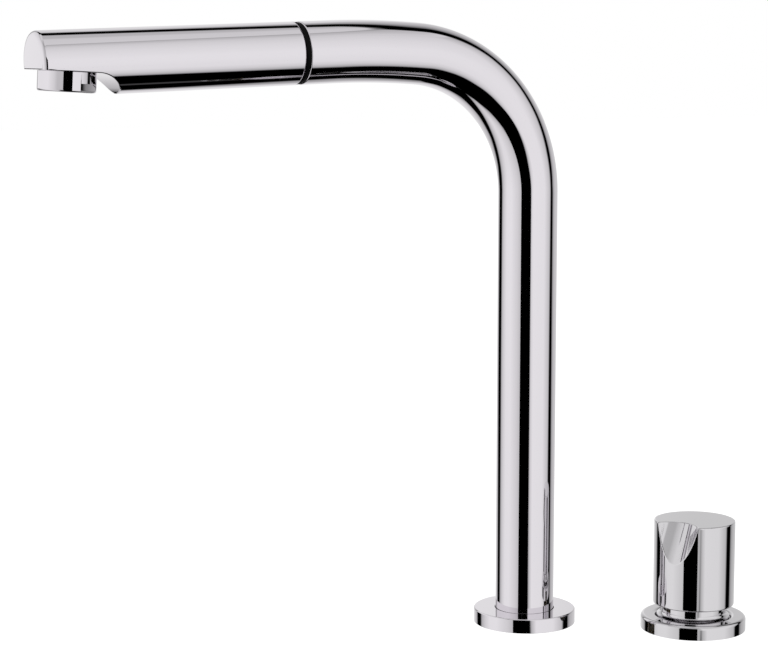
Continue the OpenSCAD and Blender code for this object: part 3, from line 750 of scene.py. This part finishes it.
def neck_cover():
    low, top, roof = 3.2, 12.5, 1.2
    neck_r, foot_r, inner_r, mouth_r = 15.4, 17.3, 14.35, 9.6
    foot_top, cove_r, cove_height = 6.6, 1.9, 8.6
    outline = [(inner_r, low), (foot_r, low), (foot_r, foot_top)]
    outline += arc((foot_r, cove_height), cove_r, 270, 180)[1:]
    outline += [(neck_r, top - EDGE), (neck_r - EDGE, top), (mouth_r, top), (mouth_r, top - roof)]
    outline += [(inner_r, top - roof)]
    cover = turned("neck_polished", outline)
    smoothed(cover, sharp=35)
    done(cover, "deck", "chrome", SHADED_KNOB_CHROME, "neck_cover", place=AT_KNOB_HOLE)


# Under the worktop

def shanks():
    """The spout's threaded shank, and the valve's body with its chamber, ports and channels."""
    bore, collar_top = 15.06, 1.75
    collar = [(SHANK_R, COLLAR_LOW), (SHANK_R, collar_top), (bore, collar_top), (bore, SHANK_LOW)]
    shank = threaded("spout_shank_threaded", SHANK_LOW, THREAD_TOP, collar)
    smoothed(shank, sharp=35)
    done(shank, "deck", "brass", BRASS, "spout_shank")

    step, neck_r, neck_top, chamber_r, chamber_floor = 3.2, 14.3, 11, 12.35, -9.5
    top = [(SHANK_R, COLLAR_LOW), (SHANK_R, step), (neck_r, step), (neck_r, neck_top)]
    top += [(chamber_r, neck_top), (chamber_r, chamber_floor)]
    body = threaded("valve_body_threaded", SHANK_LOW, THREAD_TOP, top, solid=True)
    port_depths, port_r, port_out = (20, 18, 22), 4.5, 9
    channel_r, channel_out, overlap = 2.4, 7, 0.5
    for port, depth in enumerate(port_depths):
        turn = turned_by(360 * port / len(port_depths), "Z")
        port_end = SHANK_LOW + depth
        cut(body, rod(port_r, SHANK_LOW - 1, port_end, turn @ moved(port_out, 0, 0), sides=48))
        cut(body, rod(channel_r, port_end - overlap, 0, turn @ moved(channel_out, 0, 0), sides=32))
    smoothed(body, sharp=35)
    done(body, "deck", "brass", BRASS, "valve_body", place=AT_KNOB_HOLE)


def clamp_nuts():
    for name, place in (("spout_clamp_nut", None), ("control_clamp_nut", AT_KNOB_HOLE)):
        low, high = (corner.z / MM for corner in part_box(name))
        nut = hex_nut(name + "_chamfered", NUT_FLATS, low, high, SHANK_R + FIT)
        smoothed(nut, edge=0.2, sharp=20, segments=2)
        done(nut, "deck", "brass", BRASS, name, place=place)


def hose_tail_nut():
    low, high = (corner.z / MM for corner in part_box("hose_tail_nut"))
    flats, thread_r, root_r, pitch, thread_h = 19.0, 8.2, 7.6, 1.337, 12.0
    shoulder = low + thread_h
    thread_top, plain_low, plain_top = shoulder - 0.6, shoulder - 0.3, shoulder + 0.4
    nut = hex_nut("tail_nut_chamfered", flats, shoulder, high, HOSE_R + FIT)
    outline = [(thread_r, plain_low), (thread_r, plain_top)]
    outline += [(HOSE_BORE_R, plain_top), (HOSE_BORE_R, low)]
    tail = threaded("tail", low, thread_top, outline, crest=thread_r, root=root_r, pitch=pitch)
    cut(nut, tail, way="UNION")
    smoothed(nut, sharp=25)
    done(nut, "spout", "brass", BRASS, "hose_tail_nut")


spout_tube()
hose()
docking_collar()
base_rings()
handset_shell()
aerator_housing()
knob()
neck_cover()
shanks()
clamp_nuts()
hose_tail_nut()


# Floor, light and camera

CAMERA_AT = Vector((-525.3, -861.8, 275.5))
LOOK_TURN = 27.5     # degrees from +Y towards +X
LOOK_DOWN = 7.55     # degrees below the level
FOCAL_PX = 2131.0
FRAME_PX = 768.0     # the frame's width

look_turn, look_down = math.radians(LOOK_TURN), math.radians(LOOK_DOWN)
to_right = Vector((math.cos(look_turn), -math.sin(look_turn), 0))
to_camera = Vector((-math.sin(look_turn), -math.cos(look_turn), 0))


def direction(turn, rise):
    """A direction from the tap, in degrees from the camera's side to the right and upwards."""
    turn, rise = math.radians(turn), math.radians(rise)
    level = math.cos(rise) * (math.sin(turn) * to_right + math.cos(turn) * to_camera)
    return level + math.sin(rise) * Vector((0, 0, 1))


def floor():
    """A pale floor just below the tap, which glows so evenly that it shows no edge."""
    width, drop, glow = 12, 0.05 * MM, 0.9
    bpy.ops.object.select_all(action="DESELECT")
    bpy.ops.mesh.primitive_plane_add(size=width, location=(0, 0, -drop))
    ground = bpy.context.object
    ground.name = "floor"
    material, shader = shader_of("pale_floor", (0.25, 0.25, 0.25), metallic=0.0, roughness=1.0)
    shader.inputs["Specular IOR Level"].default_value = 0.0
    shader.inputs["Emission Color"].default_value = (1, 1, 1, 1)
    shader.inputs["Emission Strength"].default_value = glow
    ground.data.materials.append(material)
    ground.visible_glossy = False
    ground.visible_diffuse = False


def black_card():
    """The dark card beside the camera that draws the black stripe down the upright pieces."""
    left = -231 * to_right + 423 * to_camera
    right = 100 * to_right + 620 * to_camera
    low, top = -270, 405
    bpy.ops.object.select_all(action="DESELECT")
    along = right - left
    upright = (math.pi / 2, 0, math.atan2(along.y, along.x))
    bpy.ops.mesh.primitive_plane_add(size=1, rotation=upright)
    card = bpy.context.object
    card.name = "black_card"
    card.scale = Vector((along.length, top - low, 1)) * MM
    card.location = ((left + right) / 2 + Vector((0, 0, (low + top) / 2))) * MM
    material, shader = shader_of("matt_black", (0, 0, 0), metallic=0.0, roughness=1.0)
    shader.inputs["Specular IOR Level"].default_value = 0.0
    card.data.materials.append(material)
    card.visible_camera = card.visible_diffuse = card.visible_shadow = False


def studio():
    """A white room round the tap, whose dark gaps between soft boxes draw lines in the chrome.

    Turns and rises are in degrees round and above the tap, as in direction(). Each list of stops
    pairs an angle with a brightness from 0 to 1, or a turn or a rise with where an edge lies there.
    """
    world = bpy.data.worlds.new("studio")
    world.use_nodes = True
    bpy.context.scene.world = world
    tree = world.node_tree
    background = tree.nodes["Background"]
    ray = wired(tree, "ShaderNodeTexCoord", {}).outputs["Generated"]

    def share(pole):
        """How much of a ray lies along a direction, from -1 to 1."""
        inputs = {0: ray, 1: pole}
        return wired(tree, "ShaderNodeVectorMath", inputs,
                     operation="DOT_PRODUCT").outputs["Value"]

    def in_degrees(angle):
        return reckon(tree, "MULTIPLY", angle, 180 / math.pi)

    def beyond(value, edge):
        return reckon(tree, "SUBTRACT", value, edge)

    def brighter(first, second):
        return reckon(tree, "MAXIMUM", first, second)

    def darker(first, second):
        return reckon(tree, "MINIMUM", first, second)

    def curve(value, stops, low=-180, high=180):
        """A number that follows a value in straight lines from stop to stop, from low to high."""
        first, last = stops[0][0], stops[-1][0]
        inputs = {"Value": value, "From Min": first, "From Max": last}
        fac = wired(tree, "ShaderNodeMapRange", inputs).outputs["Result"]
        node = wired(tree, "ShaderNodeValToRGB", {"Fac": fac})
        points = node.color_ramp.elements
        while len(points) < len(stops):
            points.new(0.5)
        for point, (at, number) in zip(points, stops):
            grey = (number - low) / (high - low)
            point.position = (at - first) / (last - first)
            point.color = (grey, grey, grey, 1)
        return reckon(tree, "MULTIPLY_ADD", node.outputs["Color"], high - low, low)

    def shade(value, stops):
        """A brightness that follows a value through its stops."""
        return curve(value, stops, 0, 1)

    turn = in_degrees(reckon(tree, "ARCTAN2", share(to_right), share(to_camera)))
    rise = in_degrees(reckon(tree, "ARCSINE", share(Vector((0, 0, 1)))))

    # The dark floor in front, with a faint streak on it
    floor_edge = curve(turn, [
        (-180, -54), (-154, -59.5), (-134, -81), (-99, -85), (-60, -80), (-36, -66), (-25, -42),
        (-20, -30), (6, -30), (9, -14), (16, -21), (20, -25), (24, -36), (36, -45), (53, -48),
        (70, -47.5), (90, -50), (150, -52), (160, -52), (166, -50.5), (173, -48), (180, -54)])
    over_floor = beyond(rise, floor_edge)
    floor_shade = shade(over_floor, [(-1.5, 0), (0, 0.3), (2, 0.58), (10, 0.86), (20, 1)])
    streak_across = shade(turn, [(106, 0), (113, 0.12), (127, 0.12), (134, 0)])
    streak_up = shade(rise, [(-64, 1), (-60, 0)])
    streak = reckon(tree, "MULTIPLY", streak_across, streak_up)

    # The gap at the left, of which only the far side goes on above the horizon
    left_front = curve(rise, [(-62, -106), (-39, -111), (-19, -118), (-8, -122)])
    left_back = curve(rise, [(-60, -154), (-48, -134), (-32, -130), (-14, -140), (-8, -148)])
    before_left = beyond(turn, left_front)
    before_left = shade(before_left, [(-2, 0), (0, 0.3), (4, 0.6), (16, 0.84), (30, 1)])
    past_left = beyond(left_back, turn)
    past_left = shade(past_left, [(-2, 0), (0, 0.3), (5, 0.6), (24, 0.9), (35, 1)])
    left_gap = brighter(before_left, past_left)
    far_left = shade(turn, [(-180, 1), (-174, 1), (-170, 0), (-148, 0), (-143, 1), (180, 1)])
    far_left = brighter(far_left, shade(rise, [(35, 0), (45, 1)]))
    over_horizon = shade(rise, [(-3.6, 0), (-2.6, 1)])
    left_gap = brighter(left_gap, darker(over_horizon, far_left))

    # The gap at the right, whose soft near side clears at a rise of 50
    right_near = curve(rise, [(-12, 95), (-2, 95), (4, 98), (13, 108), (23, 115), (34, 118),
                              (57, 115)])
    right_far = curve(rise, [(-12, 115), (-2, 109), (4, 115), (13, 123), (22, 129), (43, 140),
                             (53, 145)])
    before_right = beyond(right_near, turn)
    clear_before = darker(shade(rise, [(44, 0), (50, 1)]), shade(before_right, [(-2, 0), (2, 1)]))
    before_right = shade(before_right, [(-2, 0), (0, 0.3), (4, 0.7), (18, 0.86), (30, 1)])
    past_right = beyond(turn, right_far)
    past_right = shade(past_right, [(-2, 0), (0, 0.3), (8, 0.6), (25, 0.9), (40, 1)])
    right_gap = brighter(brighter(before_right, clear_before), past_right)
    overhead = shade(rise, [(61, 0), (63, 1)])
    right_gap = brighter(right_gap, overhead)

    # The gap over the background, up to the box overhead
    top_low = curve(turn, [(-180, 48), (-150, 40), (-140, 63), (130, 63), (143, 54.5), (165, 52.5),
                           (180, 48)])
    under_top = beyond(top_low, rise)
    under_top = shade(under_top, [(-1, 0), (0, 0.3), (2, 0.75), (10, 1)])
    top_gap = brighter(under_top, overhead)

    # The brightness of the boxes, the walls and the background
    boxes = shade(rise, [(-90, 0.9), (-30, 0.95), (-5, 1), (10, 1), (35, 0.92), (45, 0.86),
                         (48, 0.85), (50, 0.81), (90, 0.78)])
    walls = shade(turn, [(-180, 0.92), (-160, 0.95), (-70, 1), (-42, 0.82), (-28, 0.65), (8, 0.65),
                         (14, 1), (120, 0.95), (140, 0.74), (172, 0.72), (176, 0.9), (180, 0.92)])

    light = brighter(floor_shade, streak)
    for part in (left_gap, right_gap, top_gap, boxes, walls):
        light = reckon(tree, "MULTIPLY", light, part)
    seen = wired(tree, "ShaderNodeLightPath", {}).outputs["Is Camera Ray"]
    light = brighter(light, seen)
    tree.links.new(light, background.inputs["Color"])
    background.inputs["Strength"].default_value = 1.0


def soft_light(name, turn, rise, distance, size, power):
    """A square lamp that shines on the tap from some metres away and isn't seen in the chrome."""
    data = bpy.data.lights.new(name, "AREA")
    data.size = size
    data.energy = power
    lamp = bpy.data.objects.new(name, data)
    bpy.context.scene.collection.objects.link(lamp)
    lamp.location = direction(turn, rise) * distance
    lamp.rotation_euler = direction(turn, rise).to_track_quat("Z", "Y").to_euler()
    lamp.visible_glossy = False


def camera():
    data = bpy.data.cameras.new("camera")
    data.lens = FOCAL_PX * data.sensor_width / FRAME_PX
    data.clip_start, data.clip_end = 0.05, 30   # metres
    eye = bpy.data.objects.new("camera", data)
    bpy.context.scene.collection.objects.link(eye)
    look = Vector((math.sin(look_turn), math.cos(look_turn), -math.tan(look_down)))
    eye.location = CAMERA_AT * MM
    eye.rotation_euler = look.to_track_quat("-Z", "Y").to_euler()
    bpy.context.scene.camera = eye


floor()
black_card()
studio()
soft_light("overhead_box", turn=40, rise=60, distance=1.6, size=1.0, power=12)
soft_light("side_box", turn=-60, rise=30, distance=1.6, size=1.0, power=8)
camera()
bpy.context.scene.view_settings.view_transform = "Standard"
